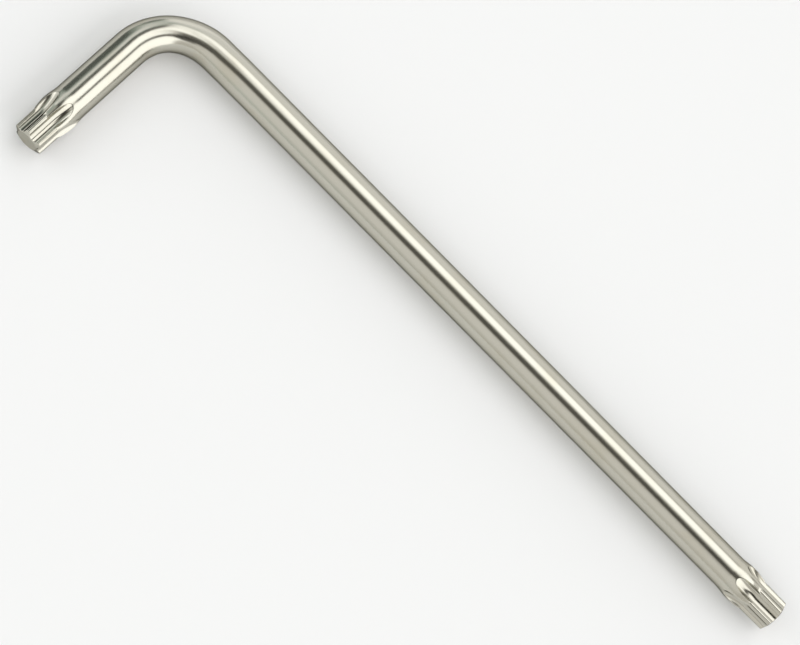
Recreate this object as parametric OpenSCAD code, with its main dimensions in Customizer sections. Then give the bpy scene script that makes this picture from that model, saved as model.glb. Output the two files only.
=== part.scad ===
// L-shaped key for six-lobe screws: one length of round steel bar, bent once,
// with a formed six-lobe tip at each end. Lying flat, the long arm along X.

/* [Bar] */
// Diameter of the round bar
bar_d = 7; // [6.9:0.05:7.1]
// Long arm, from the outside of the short arm to the end of its tip
long_length = 159; // [120:1:200]
// Short arm, from the outside of the long arm to the end of its tip
short_length = 40.6; // [36:0.1:60]

/* [Bend] */
// Centreline radius of the bend
bend_r = 11.2; // [9:0.1:14]

/* [Six-lobe tips] */
// Width across opposite lobes at the middle of the flutes
lobe_d = 6.7; // [6.64:0.01:6.76]
// Rounding radius of each lobe
lobe_r = 0.55; // [0.52:0.01:0.58]
// Radius of the hollow flute between two lobes
flute_r = 1.43; // [1.38:0.01:1.48]
// Length of the long tip's flutes at full depth
long_flute = 5.3; // [4.9:0.1:5.6]
// Length of the short tip's flutes at full depth
short_flute = 4.5; // [4.1:0.1:4.9]
// Lengthwise radius in which the bottom of a flute runs out
runout_r = 11; // [10:0.5:12]
// Loss of radius from the middle of the flutes to the end
lead_in = 0.06; // [0.02:0.01:0.1]
// Diameter of the flat end face
face_d = 4.5; // [4.3:0.05:4.6]
// Length of the flat chamfer from the end face to the lobes
end_chamfer = 0.36; // [0.3:0.02:0.5]
// Diameter over the metal that forming has pushed up beside the run-outs
swell_d = 7.5; // [7.3:0.05:7.5]
// Distance from the full depth of the flutes to the crest of that swell
swell_past = 3.4; // [3.2:0.1:3.6]
// Lengthwise radius of the swell
swell_r = 9; // [8:0.5:10]
// Angle of a flute on the long tip from straight up, towards the short arm
long_turn = 20; // [0:1:30]
// Angle of a flute on the short tip from straight up, towards the long arm
short_turn = 20; // [0:1:30]

/* [Hidden] */
$fn = 96;

lobes = 6;
pitch = 360 / lobes;
bar_r = bar_d / 2;
// Length of bar that each formed tip takes up
tip_length = 12;
// Place of the lobe centres, and of the flute centres that are tangent to the lobes
lobe_at = lobe_d / 2 - lobe_r;
flute_at = lobe_at * cos(pitch / 2) + sqrt(pow(lobe_r + flute_r, 2) - pow(lobe_at * sin(pitch / 2), 2));
// Round core that takes the place of the cusps where lobes and flutes touch
core_r = lobe_at + lobe_r / 2;
// Radius to which the lobes taper at the end, and at the root of the flutes
end_r = lobe_d / 2 - lead_in;
root_r = lobe_d / 2 + lead_in;
// Reach of the cone in which the rounding of the lobes fades, before and after the flute's root
fade_before = 0.8;
fade_after = 2.2;
shoulder_r = lobe_at;
// Anything wider than the swell, and how far cutters run past the end
over_margin = 0.3;
over_r = swell_d / 2 + over_margin;
overrun = 1;
// Arc through which a flute's cutter swings to leave the bar
runout_angle = acos(1 - (over_r + flute_r - flute_at) / runout_r);
// Ends of the two axes, from the point where they cross
long_end = long_length - bar_r;
short_end = short_length - bar_r;
// The key rests on its swells, with the origin under the middle of its box
corner = [-(long_end - swell_d / 2) / 2, (short_end - swell_d / 2) / 2, swell_d / 2];
steel = [0.74, 0.72, 0.66];

// Places the parts of the key with the crossing point of the axes at the origin
module lying_flat() {
    translate(corner) children();
}

// Stands a tip's own axis, which runs from the end face up Z, along the long arm
module on_long_arm() {
    lying_flat() translate([long_end, 0, 0]) rotate([0, -90, 0]) rotate([0, 0, -long_turn]) children();
}

// The same for the short arm
module on_short_arm() {
    lying_flat() translate([0, -short_end, 0]) rotate([-90, 0, 0]) rotate([0, 0, short_turn - 90]) children();
}

// Outline of the tip turned about its axis: chamfer, tapered lobes, swell and bar
module tip_outline(flute_length) {
    swell_at = flute_length + swell_past;
    union() {
        polygon([
            [0, 0],
            [face_d / 2, 0],
            [end_r, end_chamfer],
            [root_r, flute_length],
            [root_r, swell_at],
            [bar_r, swell_at],
            [bar_r, tip_length],
            [0, tip_length]
        ]);
        intersection() {
            translate([swell_d / 2 - swell_r, swell_at]) circle(swell_r);
            translate([0, flute_length]) square([over_r, tip_length - flute_length]);
        }
    }
}

// Lobes with rounded crests that widen into the full bar
module lobed_stock(flute_length) {
    shoulder_from = flute_length - fade_before;
    shoulder_to = flute_length + fade_after;
    linear_extrude(shoulder_to) {
        circle(core_r);
        for (i = [0 : lobes - 1]) {
            rotate(i * pitch + pitch / 2) translate([lobe_at, 0]) circle(lobe_r);
        }
    }
    translate([0, 0, shoulder_from]) {
        cylinder(h = shoulder_to - shoulder_from, r1 = shoulder_r, r2 = over_r);
    }
    translate([0, 0, shoulder_to]) cylinder(h = tip_length - shoulder_to, r = over_r);
}

// Cutter for one flute: straight at full depth, then swinging out of the bar
module flute(flute_length) {
    swing_r = runout_r - flute_r;
    translate([flute_at, 0, -overrun]) cylinder(h = flute_length + overrun, r = flute_r);
    translate([flute_at + swing_r, 0, flute_length]) rotate([90, 0, 0]) {
        rotate_extrude(angle = runout_angle, start = 180 - runout_angle) {
            translate([swing_r, 0]) circle(flute_r);
        }
    }
}

// One formed tip, from its end face at the origin to the plain bar
module six_lobe_tip(flute_length) {
    difference() {
        intersection() {
            rotate_extrude() tip_outline(flute_length);
            lobed_stock(flute_length);
        }
        for (i = [0 : lobes - 1]) {
            rotate([0, 0, i * pitch]) flute(flute_length);
        }
    }
}

module long_tip() {
    color(steel) on_long_arm() six_lobe_tip(long_flute);
}

module long_arm() {
    color(steel) lying_flat() translate([bend_r, 0, 0]) rotate([0, 90, 0]) {
        cylinder(h = long_end - tip_length - bend_r, r = bar_r);
    }
}

module bend() {
    color(steel) lying_flat() translate([bend_r, -bend_r, 0]) {
        rotate_extrude(angle = 90, start = 90) translate([bend_r, 0]) circle(bar_r);
    }
}

module short_arm() {
    color(steel) lying_flat() translate([0, -bend_r, 0]) rotate([90, 0, 0]) {
        cylinder(h = short_end - tip_length - bend_r, r = bar_r);
    }
}

module short_tip() {
    color(steel) on_short_arm() six_lobe_tip(short_flute);
}

long_tip();
long_arm();
bend();
short_arm();
short_tip();
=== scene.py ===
import functools
import math

import bpy
import numpy as np
from mathutils import Matrix, Vector


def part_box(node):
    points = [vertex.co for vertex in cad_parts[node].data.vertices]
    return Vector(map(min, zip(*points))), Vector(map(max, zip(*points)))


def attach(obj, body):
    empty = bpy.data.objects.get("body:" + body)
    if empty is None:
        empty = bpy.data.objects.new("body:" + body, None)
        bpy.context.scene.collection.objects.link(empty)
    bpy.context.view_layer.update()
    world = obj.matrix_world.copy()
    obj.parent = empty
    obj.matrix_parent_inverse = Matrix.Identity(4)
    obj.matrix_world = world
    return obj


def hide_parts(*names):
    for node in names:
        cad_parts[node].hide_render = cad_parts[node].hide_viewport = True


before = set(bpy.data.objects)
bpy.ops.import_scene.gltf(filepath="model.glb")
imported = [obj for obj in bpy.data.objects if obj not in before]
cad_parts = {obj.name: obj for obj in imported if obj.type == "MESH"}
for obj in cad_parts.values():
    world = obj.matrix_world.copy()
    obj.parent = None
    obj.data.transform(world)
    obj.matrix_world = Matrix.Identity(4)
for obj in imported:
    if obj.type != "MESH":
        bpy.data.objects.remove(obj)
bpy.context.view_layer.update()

# The bar: one length of round steel, bent once, with its arms lying in a plane.
# Its centreline runs from the end of the short arm, round the bend, to the end of the long arm.
long_low, long_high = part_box("long_arm")
short_low, short_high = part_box("short_arm")
bar_radius = (long_high.z - long_low.z) / 2
axis_x = (short_low.x + short_high.x) / 2
axis_y = (long_low.y + long_high.y) / 2
axis_z = (long_low.z + long_high.z) / 2
short_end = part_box("short_tip")[0].y
long_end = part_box("long_tip")[1].x
bend_radius = long_low.x - axis_x
bend_centre = Vector((long_low.x, short_high.y, axis_z))
bend_from = short_high.y - short_end
bend_length = bend_radius * math.pi / 2
bend_to = bend_from + bend_length
bar_length = bend_to + long_end - long_low.x


def centre_at(along):
    """Point of the centreline, and the direction there towards the outside of the bend."""
    if along <= bend_from:
        return Vector((axis_x, short_end + along, axis_z)), Vector((-1, 0, 0))
    if along >= bend_to:
        return Vector((long_low.x + along - bend_to, axis_y, axis_z)), Vector((0, 1, 0))
    turn = (along - bend_from) / bend_radius
    outward = Vector((-math.cos(turn), math.sin(turn), 0))
    return bend_centre + bend_radius * outward, outward


# The six-lobe tips: cold formed in a die, which presses six flutes into the bar.
# The flutes run straight and then swing out of the bar, and the metal beside them swells.
# A flat chamfer takes the corners of the lobes down to a round end face.
MM = 0.001
lobes = 6
half_pitch = math.pi / lobes
lobe_width = 6.7 * MM
lobe_radius = 0.55 * MM
lobe_at = lobe_width / 2 - lobe_radius
flute_radius = 1.43 * MM
tangent_reach = (lobe_radius + flute_radius) ** 2 - (lobe_at * math.sin(half_pitch)) ** 2
flute_at = lobe_at * math.cos(half_pitch) + math.sqrt(tangent_reach)
core_radius = lobe_at + lobe_radius / 2
long_flute = 5.3 * MM
short_flute = 4.5 * MM
runout_radius = 11 * MM
swing_radius = runout_radius - flute_radius
swing_at = flute_at + swing_radius
face_radius = 2.25 * MM
chamfer = 0.36 * MM
lead_in = 0.06 * MM
end_radius = lobe_width / 2 - lead_in
root_radius = lobe_width / 2 + lead_in
swell_radius = 3.75 * MM
swell_past = 3.4 * MM
swell_curve = 9 * MM
tip_length = 12 * MM
# Reach of the cone in which the rounding of the lobes fades, and how far it passes the swell
fade_before = 0.8 * MM
fade_after = 2.2 * MM
fade_over = 0.3 * MM
fade_radius = swell_radius + fade_over
# Widths over which edges are softened
edge_round = 0.10 * MM
corner_round = 0.30 * MM
swell_round = 0.30 * MM
# Angle of a flute from straight up, and the least angle from a flute's middle to its edge
flute_turn = math.radians(-20)
flute_least = math.radians(7)
# Points from a flute's middle to its edge and on to the lobe's, and how they crowd at the edge
flute_steps = 12
crest_steps = 9
flute_crowding = 1.4
crest_crowding = 1.5
# Halvings that find a flute's wall and its edge
wall_halvings = 40
edge_halvings = 30


def soft_min(a, b, width):
    """The smaller of two, rounded over where they cross."""
    overlap = np.maximum(width - np.abs(a - b), 0) / width
    return np.minimum(a, b) - overlap * overlap * width / 4


def outer_radius(depth, flute):
    """Radius over the lobes, the swell and the plain bar at a distance from the end."""
    if depth >= tip_length:
        return bar_radius
    taper = end_radius + (root_radius - end_radius) * min(depth / flute, 1)
    slope = face_radius + (end_radius - face_radius) * depth / chamfer
    past = depth - flute - swell_past
    plain = float(soft_min(taper, slope, corner_round)) if past < 0 else bar_radius
    hump = swell_radius - swell_curve + math.sqrt(swell_curve ** 2 - past ** 2)
    return float(-soft_min(-plain, -hump, swell_round)) if depth > flute else plain


def flute_surface(angle, depth, flute):
    """Distance from the axis to the wall of a flute, for angles from the flute's middle."""
    past = max(depth - flute, 0)
    near = np.zeros_like(angle)
    far = np.full_like(angle, flute_at)
    for _ in range(wall_halvings):
        middle = (near + far) / 2
        aside = middle * np.sin(angle)
        reach = np.sqrt(np.maximum(flute_radius ** 2 - aside ** 2, 0))
        solid = np.hypot(swing_at - middle * np.cos(angle), past) > swing_radius + reach
        near = np.where(solid, middle, near)
        far = np.where(solid, far, middle)
    return near


def stock_surface(angle, depth, flute):
    """Distance from the axis to the lobes before the flutes are taken out of them."""
    aside = lobe_at * np.sin(half_pitch - angle)
    round_part = np.sqrt(np.maximum(lobe_radius ** 2 - aside ** 2, 0))
    lobe = lobe_at * np.cos(half_pitch - angle) + round_part
    lobe = np.where(np.abs(aside) < lobe_radius, lobe, core_radius)
    faded = (depth - flute + fade_before) / (fade_after + fade_before)
    cone = lobe_at + (fade_radius - lobe_at) * faded
    grown = np.maximum(np.maximum(lobe, core_radius), cone)
    return soft_min(grown, np.full_like(angle, outer_radius(depth, flute)), edge_round)


def section(depth, flute):
    """Angles from a flute's middle to the next lobe's, and the radius at each of them."""
    low, high = 0.0, half_pitch
    inner = max(depth, chamfer)
    for _ in range(edge_halvings):
        middle = np.array([(low + high) / 2])
        if flute_surface(middle, inner, flute)[0] < stock_surface(middle, inner, flute)[0]:
            low = middle[0]
        else:
            high = middle[0]
    edge = max(low, flute_least)
    flute_shares = np.linspace(0, 1, flute_steps + 1)
    crest_shares = np.linspace(0, 1, crest_steps + 1)[1:]
    in_flute = edge * (1 - (1 - flute_shares) ** flute_crowding)
    on_lobe = edge + (half_pitch - edge) * crest_shares ** crest_crowding
    angle = np.concatenate([in_flute, on_lobe])
    if depth >= tip_length:
        return angle, np.full_like(angle, bar_radius)
    wall = flute_surface(angle, depth, flute)
    return angle, soft_min(stock_surface(angle, depth, flute), wall, edge_round)


@functools.lru_cache(maxsize=None)
def full_ring(depth, flute):
    """One whole section: angles from straight up towards the outside of the bend, and radii."""
    angle, radius = section(depth, flute)
    both = np.concatenate([-angle[:0:-1], angle[:-1]])
    wall = np.concatenate([radius[:0:-1], radius[:-1]])
    around = [both + 2 * half_pitch * k + flute_turn for k in range(lobes)]
    return np.concatenate(around), np.tile(wall, lobes)


# The skin of the key: one closed surface over the bar and both tips, without a seam.
# Its rows are close together where the tips are formed and where the bar turns.
# Bending has drawn the bar a little thinner on the outside and gathered its metal inside.
chamfer_rows_to = 1.4 * chamfer
runout_rows_past = 5.4 * MM
tip_row_counts = (15, 8, 84, 9)
short_row_count = 14
bend_row_count = 57
long_row_count = 68


def tip_rows(flute):
    """Distances from the end at which a tip has rows of points."""
    ends = (0, chamfer_rows_to, flute - fade_before, flute + runout_rows_past, tip_length)
    spans = [np.linspace(a, b, n)[1:] for a, b, n in zip(ends, ends[1:], tip_row_counts)]
    return np.concatenate([[0], *spans])


short_rows = np.linspace(tip_length, bend_from, short_row_count)[1:-1]
bend_rows = np.linspace(bend_from, bend_to, bend_row_count)
long_rows = np.linspace(bend_to, bar_length - tip_length, long_row_count)[1:-1]
long_tip_rows = bar_length - tip_rows(long_flute)[::-1]
rows = np.concatenate([tip_rows(short_flute), short_rows, bend_rows, long_rows, long_tip_rows])
# Rings of points on each end face, as shares of its radius
cap_shares = [0.95, 0.8, 0.5, 0.25]
# Share that bending takes off the bar's width
thinning = 0.05
# Share that it takes off the height for each radius outwards from a pivot inside the axis
wedge = 0.155
wedge_pivot = 0.28
# Growth of the inner flank, where metal is gathered, past a distance from the axis in radii
gathering = 0.36
gathered_from = 0.3
# Where the wedge starts and is full, as shares of the bend, and how it fades into the long arm
wedge_from_share = 0.38
wedge_full_share = 0.71
wedge_from = bend_from + wedge_from_share * bend_length
wedge_full = bend_from + wedge_full_share * bend_length
wedge_before = 4 * MM
wedge_after = 7 * MM
up = Vector((0, 0, 1))


def smooth_step(value, low, high):
    """0 below low, 1 above high and smooth between."""
    share = min(max((value - low) / (high - low), 0), 1)
    return share * share * (3 - 2 * share)


def place(along, angle, radius):
    """Points of one row of the skin, with the section that bending leaves."""
    centre, outward = centre_at(along)
    turned_share = min(max((along - bend_from) / bend_length, 0), 1)
    squeeze = 1 - thinning * math.sin(math.pi * turned_share) ** 2
    leaving = smooth_step(along, bend_to - wedge_before, bend_to + wedge_after)
    bent = smooth_step(along, wedge_from, wedge_full) * (1 - leaving)
    aside = np.sin(angle)
    gathered = gathering * np.maximum(-aside - gathered_from, 0) ** 2
    loss = wedge * (aside + wedge_pivot) - gathered
    side = radius * aside * squeeze
    rise = radius * np.cos(angle) * (1 - bent * loss)
    return np.array(centre) + np.outer(side, outward) + np.outer(rise, up)


hollow_depth = end_radius - flute_at + flute_radius
crest_height = 0.3 * MM
points = []
grain = []
form = []


def nearer_flute(along):
    """Length of the flutes on the nearer tip."""
    return short_flute if along < bend_from else long_flute


def add_row(along, angle, radius, end_share):
    """Adds a row's points, their place on the straightened bar and the form that they lie on."""
    flute = nearer_flute(along)
    depth = min(along, bar_length - along)
    below = outer_radius(depth, flute) - radius
    over_lobes = depth < flute + swell_past
    hollow = np.clip(below / hollow_depth, 0, 1) * (1 - end_share)
    crest = np.clip(1 - below / crest_height, 0, 1) * over_lobes * (1 - end_share)
    unrolled = [bar_radius * np.cos(angle), bar_radius * np.sin(angle), np.full_like(angle, along)]
    points.append(place(along, angle, radius))
    grain.append(np.stack(unrolled, axis=1))
    form.append(np.stack([hollow, crest, np.full_like(angle, end_share)], axis=1))


first_angle, first_radius = full_ring(0, short_flute)
last_angle, last_radius = full_ring(0, long_flute)
# Depths are rounded, so that equal sections are worked out once
depth_digits = 9
for share in cap_shares[::-1]:
    add_row(0, first_angle, first_radius * share, 1)
for along in rows:
    row_depth = round(min(along, bar_length - along, tip_length), depth_digits)
    row_angle, row_radius = full_ring(row_depth, nearer_flute(along))
    add_row(along, row_angle, row_radius, 0)
for share in cap_shares:
    add_row(bar_length, last_angle, last_radius * share, 1)
row_count = len(points)
column_count = len(first_angle)
points.append(np.array([centre_at(0)[0], centre_at(bar_length)[0]]))
grain.append(np.array([[0, 0, 0], [0, 0, bar_length]]))
form.append(np.array([[0, 0, 1], [0, 0, 1]]))

faces = []
for row in range(row_count - 1):
    for column in range(column_count):
        beside = (column + 1) % column_count
        here = row * column_count
        ahead = here + column_count
        faces.append((here + column, ahead + column, ahead + beside, here + beside))
short_middle = row_count * column_count
long_middle = short_middle + 1
last_row = short_middle - column_count
for column in range(column_count):
    beside = (column + 1) % column_count
    faces.append((short_middle, column, beside))
    faces.append((long_middle, last_row + beside, last_row + column))

skin_mesh = bpy.data.meshes.new("key_skin")
skin_mesh.from_pydata(np.concatenate(points).tolist(), [], faces)
for name, values in (("grain", grain), ("form", form)):
    attribute = skin_mesh.attributes.new(name, "FLOAT_VECTOR", "POINT")
    attribute.data.foreach_set("vector", np.concatenate(values).astype(np.float32).ravel())
skin_mesh.polygons.foreach_set("use_smooth", [True] * len(skin_mesh.polygons))
skin_mesh.validate()
skin_mesh.update()
skin = bpy.data.objects.new("key_skin", skin_mesh)
bpy.context.scene.collection.objects.link(skin)
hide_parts("long_tip", "long_arm", "bend", "short_arm", "short_tip")
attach(skin, "root")


# The plate: bright nickel over drawn steel, put on after forming.
# Drawing lines run along the bar and the plate is a little cloudy. Shade is painted into its colour in
# the flutes, deeper where they are deeper.
# The end faces are cut and not drawn, so they are rougher than the rest.
class Wire:
    """A socket of a node tree, on which sums add Math nodes."""

    def __init__(self, tree, socket=None):
        self.tree = tree
        self.socket = socket

    def add(self, kind, settings=None, inputs=None, output=0):
        """Adds any node: its settings are set first, and then its inputs are set or linked."""
        node = self.tree.nodes.new("ShaderNode" + kind)
        for name, value in (settings or {}).items():
            setattr(node, name, value)
        for name, value in (inputs or {}).items():
            if isinstance(value, Wire):
                self.tree.links.new(value.socket, node.inputs[name])
            else:
                node.inputs[name].default_value = value
        return Wire(self.tree, node.outputs[output])

    def math(self, operation, first, second=0.0):
        """One Math node on two values."""
        return self.add("Math", {"operation": operation}, {0: first, 1: second})

    def __add__(self, other):
        return self.math("ADD", self, other)

    def __radd__(self, other):
        return self.math("ADD", other, self)

    def __sub__(self, other):
        return self.math("SUBTRACT", self, other)

    def __rsub__(self, other):
        return self.math("SUBTRACT", other, self)

    def __mul__(self, other):
        return self.math("MULTIPLY", self, other)

    def __rmul__(self, other):
        return self.math("MULTIPLY", other, self)

    def ramp(self, low, high):
        """0 below low, 1 above high and smooth between."""
        inputs = {"Value": self, "From Min": low, "From Max": high}
        return self.add("MapRange", {"interpolation_type": "SMOOTHSTEP"}, inputs)

    def mix(self, first, second):
        """A colour between two, with this value as the share of the second."""
        return self.add("Mix", {"data_type": "RGBA"}, {0: self, 6: first, 7: second}, output=2)

    def parts(self):
        """The three numbers of a vector."""
        split = self.add("SeparateXYZ", {}, {0: self})
        return [Wire(self.tree, number) for number in split.socket.node.outputs]

    def noise(self, across, along, detail=2.0):
        """Soft noise from 0 to 1 on the straightened bar, with its cells per metre each way."""
        cells = {0: self, 1: (across, across, along)}
        scaled = self.add("VectorMath", {"operation": "MULTIPLY"}, cells)
        return self.add("TexNoise", {}, {"Vector": scaled, "Scale": 1.0, "Detail": detail})


plate = bpy.data.materials.new("nickel_plate")
plate.use_nodes = True
plate_shader = plate.node_tree.nodes["Principled BSDF"]
plate_start = Wire(plate.node_tree)
on_bar = plate_start.add("Attribute", {"attribute_name": "grain"}, output="Vector")
on_form = plate_start.add("Attribute", {"attribute_name": "form"}, output="Vector")
hollow, crest, end_face = on_form.parts()
drawn = on_bar.noise(across=4200, along=110)
fine_drawn = on_bar.noise(across=13000, along=350)
waves = on_bar.noise(across=900, along=420, detail=3.0)
grit = on_bar.noise(across=3800, along=3800, detail=3.0)
cloud = on_bar.noise(across=260, along=120, detail=3.0)

plate_colour = (0.535, 0.520, 0.451, 1)
warm_colour = (0.519, 0.498, 0.418, 1)
# Painted shade: the darker colour below is mixed into the flutes by their depth, broken up by grit noise.
flute_shade_colour = (0.325, 0.305, 0.256, 1)
# Painted shade on the rims: this dark specular tint darkens the plate where it is seen at grazing angles.
rim_shade_tint = (0.18, 0.18, 0.18, 1)
stain = cloud.ramp(low=0.48, high=0.72)
worn = stain.mix(plate_colour, warm_colour)
# Share of painted shade in the flutes, which grows with their depth and varies with the grit noise.
flute_shade_share = 0.2
grit_least = 0.6
grit_gain = 0.8
painted_flute_shade = flute_shade_share * hollow.ramp(low=0.55, high=1.0) * (grit_least + grit_gain * grit)
shade = painted_flute_shade.mix(worn, flute_shade_colour)

plate_roughness = 0.14
cloud_roughness = 0.05
drawn_roughness = 0.06
end_roughness = 0.4
hollow_polish = 0.04
crest_polish = 0.05
roughness = plate_roughness + cloud_roughness * cloud + drawn_roughness * drawn
roughness = roughness - hollow_polish * hollow + end_roughness * end_face - crest_polish * crest

# Heights of the marks in microns
micron = 0.001 * MM
drawn_height = 0.9
fine_height = 0.35
wave_height = 3.0
grit_height = 0.55
marks = drawn_height * drawn + fine_height * fine_drawn + wave_height * waves + grit_height * grit
bumped = plate_start.add("Bump", {}, {"Strength": 1.0, "Distance": micron, "Height": marks})
plate_shader.inputs["Metallic"].default_value = 1.0
plate_shader.inputs["Specular Tint"].default_value = rim_shade_tint
for target, wire in (("Base Color", shade), ("Roughness", roughness), ("Normal", bumped)):
    plate.node_tree.links.new(wire.socket, plate_shader.inputs[target])
skin_mesh.materials.append(plate)

# The floor: a plain sheet of pale matt paper, far wider than the view.
# The key lies loose on it, and touches it under the swells of its two tips.
floor_size = 6.0
floor_colour = (0.88, 0.88, 0.88, 1)
floor_mesh = bpy.data.meshes.new("floor")
half = floor_size / 2
floor_corners = [(-half, -half, 0), (half, -half, 0), (half, half, 0), (-half, half, 0)]
floor_mesh.from_pydata(floor_corners, [], [(0, 1, 2, 3)])
floor = bpy.data.objects.new("floor", floor_mesh)
bpy.context.scene.collection.objects.link(floor)
paper = bpy.data.materials.new("floor_paper")
paper.use_nodes = True
paper_start = Wire(paper.node_tree)
matt = paper_start.add("BsdfDiffuse", {}, {"Color": floor_colour})
paper.node_tree.links.new(matt.socket, paper.node_tree.nodes["Material Output"].inputs["Surface"])
floor_mesh.materials.append(paper)

# The studio: soft boxes above the key, on its right and low on its left, with pale walls round them.
# Dim gaps between them show in the plate as its darker bands. Angles are in degrees from straight up:
# side angles run to the right, and back angles to the back.
studio = bpy.data.worlds.new("studio")
studio.use_nodes = True
bpy.context.scene.world = studio
studio_shader = studio.node_tree.nodes["Background"]
studio_start = Wire(studio.node_tree)
east, north, rise = studio_start.add("TexCoord", output="Generated").parts()
degree = 180 / math.pi
side_angle = studio_start.math("ARCTAN2", east, rise) * degree
back_angle = studio_start.math("ARCSINE", north) * degree


def beyond(angle, start, rate):
    """How far an angle goes past a start, times a rate."""
    return rate * studio_start.math("MAXIMUM", angle - start, 0)


def step(angle, first, last, edge):
    """A value that goes smoothly from a first to a last between the two angles of an edge."""
    return first + (last - first) * angle.ramp(*edge)


def panel(level, left=None, right=None, front=None, back=None, side=side_angle, depth=back_angle):
    """Light of a soft box or a wall, which fades at each edge between two angles."""
    light = level
    for angle, edge in ((side, left), (depth, front)):
        if edge:
            light = light * angle.ramp(*edge)
    for angle, edge in ((side, right), (depth, back)):
        if edge:
            light = light * (1 - angle.ramp(*edge))
    return light


# The main box leans at its left edge, and its front and back edges come forward on the right
leaning = side_angle + beyond(back_angle, start=34, rate=0.5) + beyond(back_angle, start=18, rate=0.6)
front_dip = step(side_angle, first=0, last=-4, edge=(-4, 3))
front_drop = beyond(side_angle, start=4, rate=0.5) + step(side_angle, first=0, last=5.5, edge=(9.5, 13.5))
front_line = back_angle + front_dip + front_drop
back_line = back_angle + beyond(side_angle, start=2, rate=0.3)
main_left = (-9.5, -5.5)
main_part = panel(level=2.2, left=main_left, front=(-3, 14), side=leaning, depth=front_line)
main_box = panel(level=main_part, right=(24, 28), back=(41, 53), depth=back_line)

# The box on the right leans at the front, with a dim gap and a dark core beside the main box
right_side = side_angle + beyond(0 - back_angle, start=0, rate=0.22)
right_part = panel(level=2.1, left=(37, 41), right=(94, 98), side=right_side)
right_box = panel(level=right_part, front=(-44, -28), back=(37, 53))
upper_gap = panel(level=0.95, left=(22, 28), right=(38, 44), front=(23, 31), back=(42, 50))
dark_core = panel(level=0.09, left=(5, 11), right=(23, 29), front=(-25, -19), back=(-6, 0))

# Boxes, walls and gaps on the left, from the lowest up to the edge of the main box
west_wall = panel(level=1.1, right=(-72, -62), front=(-49, -41), back=(7, 15))
west_box = panel(level=1.8, left=(-70, -62), right=(-46, -38), front=(-36, -28), back=(2, 10))
low_strip = panel(level=1.7, left=(-46, -38), right=(-26, -18), front=(-36, -28), back=(-21, -13))
left_fill = panel(level=0.55, left=(-48, -40), right=(-21, -13), front=(-21, -11), back=(6, 16))
left_strip = panel(level=1.2, left=(-60, -35), right=(-32, -25), front=(6, 14), back=(27, 35))
left_wall = panel(level=0.45, left=(-98, -86), right=(-46, -34), front=(21, 29), back=(32, 40))
upper_left = panel(level=0.3, right=(-22, -14), front=(26, 36), back=(45, 55), side=leaning)
left_gap = panel(level=0.5, right=main_left, front=(27, 37), back=(45, 55), side=leaning)
left_glow = panel(level=upper_left + left_gap, left=(-85, -60))

# Walls in front of the key and behind it
front_level = step(back_angle, first=0.686, last=0.98, edge=(-90, -60))
front_top = back_angle + step(side_angle, first=0, last=11, edge=(10, 18))
front_wall = panel(level=front_level, right=(26, 46), back=(-29.5, -19.5), depth=front_top)
front_right = panel(level=0.75, left=(28, 44), back=(-42, -26))
back_level = step(side_angle, first=1.35, last=1.1, edge=(-55, -40))
back_wall = panel(level=back_level, front=(44, 56))

room_dark = 0.11
room_level = 0.88
soft_boxes = main_box + right_box + west_box + low_strip + left_strip
walls = west_wall + front_wall + front_right + back_wall + left_wall
gaps = upper_gap + left_glow + left_fill
level = room_dark - dark_core + soft_boxes + walls + gaps
warm_dark = (1.0, 0.96, 0.86, 1)
cool_dark = (0.86, 1.0, 0.93, 1)
white = (1, 1, 1, 1)
dark_tint = side_angle.ramp(low=-30, high=-15).mix(cool_dark, warm_dark)
studio_tint = level.ramp(low=0.3, high=1.4).mix(dark_tint, white)
studio.node_tree.links.new(studio_tint.socket, studio_shader.inputs["Color"])
studio.node_tree.links.new((room_level * level).socket, studio_shader.inputs["Strength"])

# The camera: a long lens high above the key and a little in front of it.
# It is rolled, so that the long arm falls from the upper left to the lower right.
view_azimuth = math.radians(-2.303)
view_elevation = math.radians(69.952)
view_roll = math.radians(47.438)
view_distance = 450.65 * MM
view_aim = Vector((-6.64, 5.35, 3.75)) * MM
lens_length = 112.5
sensor_width = 36.0
level_back = Vector((math.sin(view_azimuth), -math.cos(view_azimuth), 0))
level_right = Vector((math.cos(view_azimuth), math.sin(view_azimuth), 0))
view_back = math.cos(view_elevation) * level_back + math.sin(view_elevation) * up
level_up = view_back.cross(level_right)
view_right = math.cos(view_roll) * level_right + math.sin(view_roll) * level_up
camera = bpy.data.objects.new("camera", bpy.data.cameras.new("camera"))
bpy.context.scene.collection.objects.link(camera)
camera.data.lens = lens_length
camera.data.sensor_width = sensor_width
turned = Matrix((view_right, view_back.cross(view_right), view_back)).transposed().to_4x4()
camera.matrix_world = Matrix.Translation(view_aim + view_distance * view_back) @ turned
bpy.context.scene.camera = camera
bpy.context.scene.view_settings.view_transform = "Standard"
